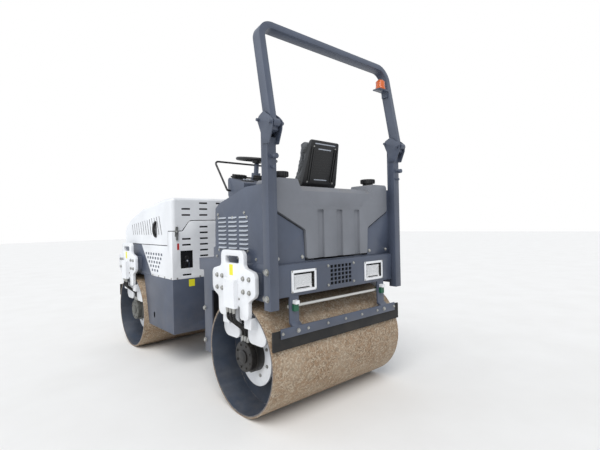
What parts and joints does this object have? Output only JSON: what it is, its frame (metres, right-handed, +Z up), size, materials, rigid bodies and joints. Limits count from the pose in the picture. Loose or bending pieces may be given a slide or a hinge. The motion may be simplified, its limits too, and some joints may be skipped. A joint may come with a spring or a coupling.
{
  "type": "articulated tandem road roller",
  "caption": "Ride-on articulated tandem vibratory road roller with smooth steel drums, open platform, folding roll bar, rear water tank and front engine hood.",
  "frame": {"origin": "on the ground, at the middle of the machine's length and width", "axes": "+Y forward travel, +X the machine's right, +Z up"},
  "size_m": [1.31, 2.82, 2.3778],
  "materials": {
    "slate_paint": "satin",
    "white_paint": "satin",
    "grey_plastic": "matte",
    "black_plastic": "matte",
    "black_rubber": "matte",
    "black_metal": "satin",
    "drum_steel": "rough",
    "bare_steel": "satin",
    "seat_cover": "soft",
    "amber": "gloss",
    "lamp": "gloss"
  },
  "bodies": {
    "rear_module": {"rear_frame": "slate_paint", "side_cabinets": "slate_paint", "water_tank": "grey_plastic", "tank_caps": "black_plastic", "roll_bar_posts": "slate_paint", "seat_pedestal": "slate_paint", "seat_shell": "black_plastic", "seat_back": "seat_cover", "seat_cushion": "seat_cover", "steering_console": "grey_plastic", "guard_rail": "black_metal", "travel_lever": "black_plastic", "rear_hangers": "white_paint", "rear_buffers": "black_rubber", "rear_hoses": "black_rubber", "rear_motor_plates": "white_paint", "rear_motors": "black_metal", "rear_beam": "slate_paint", "rear_lamps": "lamp", "rear_scraper": "slate_paint", "rear_scraper_blade": "black_rubber", "rear_spray_bar": "bare_steel"},
    "rear_drum": {"rear_drum": "drum_steel"},
    "steering_wheel": {"steering_wheel": "black_plastic"},
    "roll_bar_hoop": {"roll_bar_hoop": "slate_paint", "beacon": "amber"},
    "hitch_knuckle": {"hitch_knuckle": "black_metal"},
    "steering_barrel": {"steering_barrel": "black_metal"},
    "steering_rod": {"steering_rod": "bare_steel"},
    "front_module": {"front_frame": "slate_paint", "engine": "black_metal", "engine_cowl": "white_paint", "front_hangers": "white_paint", "front_buffers": "black_rubber", "front_hoses": "black_rubber", "front_motor_plates": "white_paint", "front_motors": "black_metal", "front_beam": "slate_paint", "front_lamps": "lamp", "front_scraper": "slate_paint", "front_scraper_blade": "black_rubber", "front_spray_bar": "bare_steel"},
    "front_drum": {"front_drum": "drum_steel"},
    "hood": {"hood": "white_paint", "hood_handles": "black_plastic"}
  },
  "joints": [
    {"name": "rear_drum_roll", "type": "hinge", "parent": "rear_module", "child": "rear_drum", "pos_m": [0, -0.97, 0.36], "axis": [1, 0, 0], "continuous": true},
    {"name": "front_drum_roll", "type": "hinge", "parent": "front_module", "child": "front_drum", "pos_m": [0, 1.04, 0.36], "axis": [1, 0, 0], "continuous": true},
    {"name": "articulation", "type": "hinge", "parent": "rear_module", "child": "hitch_knuckle", "pos_m": [0, -0.045, 0.48], "axis": [0, 0, 1], "range_deg": [-30, 30]},
    {"name": "oscillation", "type": "hinge", "parent": "hitch_knuckle", "child": "front_module", "pos_m": [0, 0.08, 0.48], "axis": [0, 1, 0], "range_deg": [-8, 8]},
    {"name": "steering_barrel_swing", "type": "hinge", "parent": "rear_module", "child": "steering_barrel", "pos_m": [0.19, -0.425, 0.5073], "axis": [0, 0, 1], "range_deg": [-5, 5]},
    {"name": "steering_rod_slide", "type": "slide", "parent": "steering_barrel", "child": "steering_rod", "axis": [-0.0857, 0.9963, 0], "range_m": [-0.09, 0.09]},
    {"name": "steering_wheel_turn", "type": "hinge", "parent": "rear_module", "child": "steering_wheel", "pos_m": [0, -0.37, 1.738], "axis": [0, -0.1392, 0.9903], "continuous": true},
    {"name": "roll_bar_fold", "type": "hinge", "parent": "rear_module", "child": "roll_bar_hoop", "pos_m": [0, -1.388, 1.752], "axis": [1, 0, 0], "range_deg": [0, 150]},
    {"name": "hood_lift", "type": "hinge", "parent": "front_module", "child": "hood", "pos_m": [0, 1.309, 1.012], "axis": [-1, 0, 0], "range_deg": [0, 55]}
  ],
  "couplings": [
    {"joint": "steering_barrel_swing", "follows": "articulation", "ratio": 0.1387},
    {"joint": "steering_rod_slide", "follows": "articulation", "m_per_rad": 0.1522}
  ]
}
